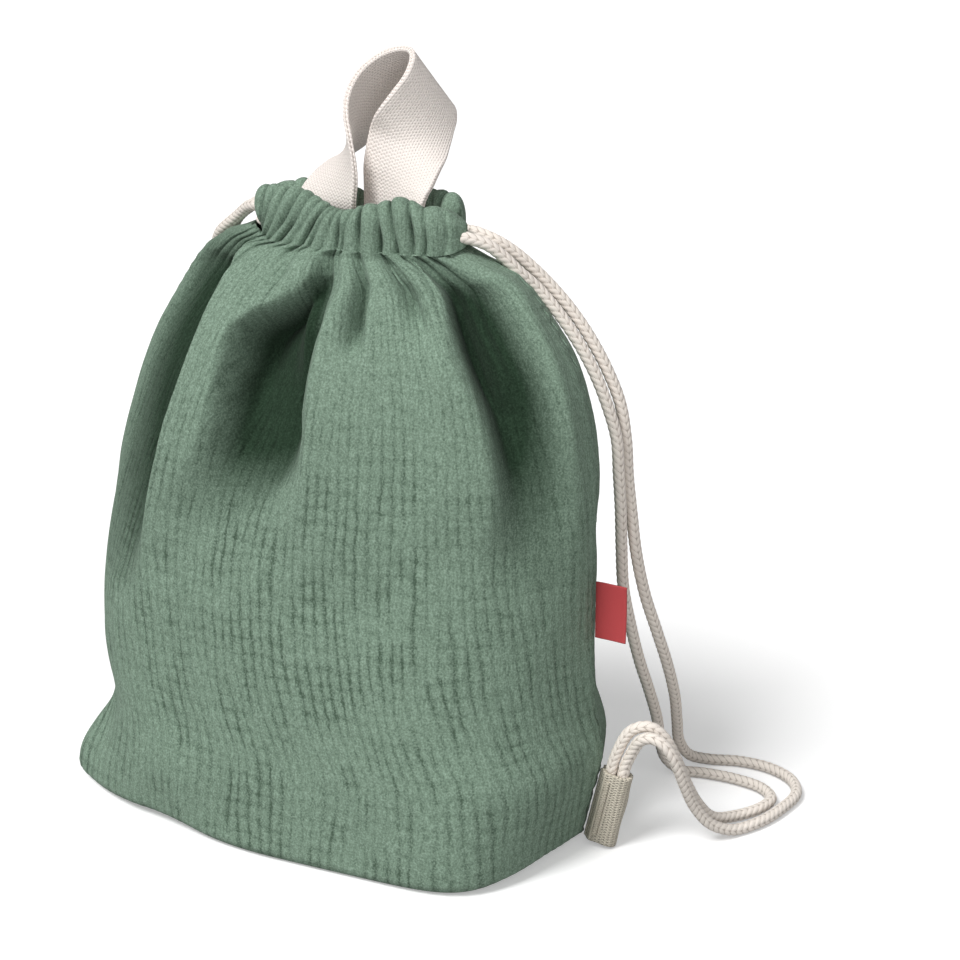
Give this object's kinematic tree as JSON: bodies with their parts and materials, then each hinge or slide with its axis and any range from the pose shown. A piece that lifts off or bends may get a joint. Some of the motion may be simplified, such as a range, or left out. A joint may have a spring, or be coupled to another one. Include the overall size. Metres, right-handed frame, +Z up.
{
  "type": "drawstring backpack",
  "caption": "Child's drawstring backpack in crinkled cotton gauze, with a gathered mouth, braided cord straps, corner cord tabs, a webbing grab handle and a side label.",
  "frame": {"origin": "bottom centre of the filled bag's box, without the free cords, on the floor", "axes": "+Z up along the bag, front panel towards -Y, +X towards the side with the label"},
  "size_m": [0.3708, 0.2267, 0.3695],
  "materials": {
    "sage_gauze": "crinkled matte double gauze",
    "sage_thread": "matte sewing thread",
    "cotton_webbing": "matte herringbone webbing",
    "beige_thread": "matte sewing thread",
    "cotton_cord": "matte braided cord",
    "woven_label": "satin woven label"
  },
  "bodies": {
    "bag": {"front_panel": "sage_gauze", "back_panel": "sage_gauze", "front_casing": "sage_gauze", "back_casing": "sage_gauze", "right_side_seam": "sage_gauze", "left_side_seam": "sage_gauze", "bottom_seam": "sage_gauze", "front_casing_thread": "sage_thread", "back_casing_thread": "sage_thread", "handle_left_tail": "cotton_webbing", "handle_right_tail": "cotton_webbing", "right_cord_tab": "cotton_webbing", "left_cord_tab": "cotton_webbing", "handle_left_bartack": "beige_thread", "handle_right_bartack": "beige_thread", "right_tab_bartack": "beige_thread", "left_tab_bartack": "beige_thread", "right_cord_run": "cotton_cord", "left_cord_run": "cotton_cord", "right_front_strand": "cotton_cord", "right_back_strand": "cotton_cord", "left_front_strand": "cotton_cord", "left_back_strand": "cotton_cord"},
    "handle": {"handle_loop": "cotton_webbing"},
    "label": {"side_label": "woven_label"}
  },
  "joints": [
    {"name": "handle_swing", "type": "hinge", "parent": "bag", "child": "handle", "pos_m": [0.01511, 0.00178, 0.307], "axis": [1, 0, 0], "range_deg": [-30, 40], "stiffness_Nm_per_rad": 0.06},
    {"name": "label_flap", "type": "hinge", "parent": "bag", "child": "label", "pos_m": [0.1343, -0.00194, 0.122], "axis": [0, 0, 1], "range_deg": [-60, 60], "stiffness_Nm_per_rad": 0.0005}
  ]
}
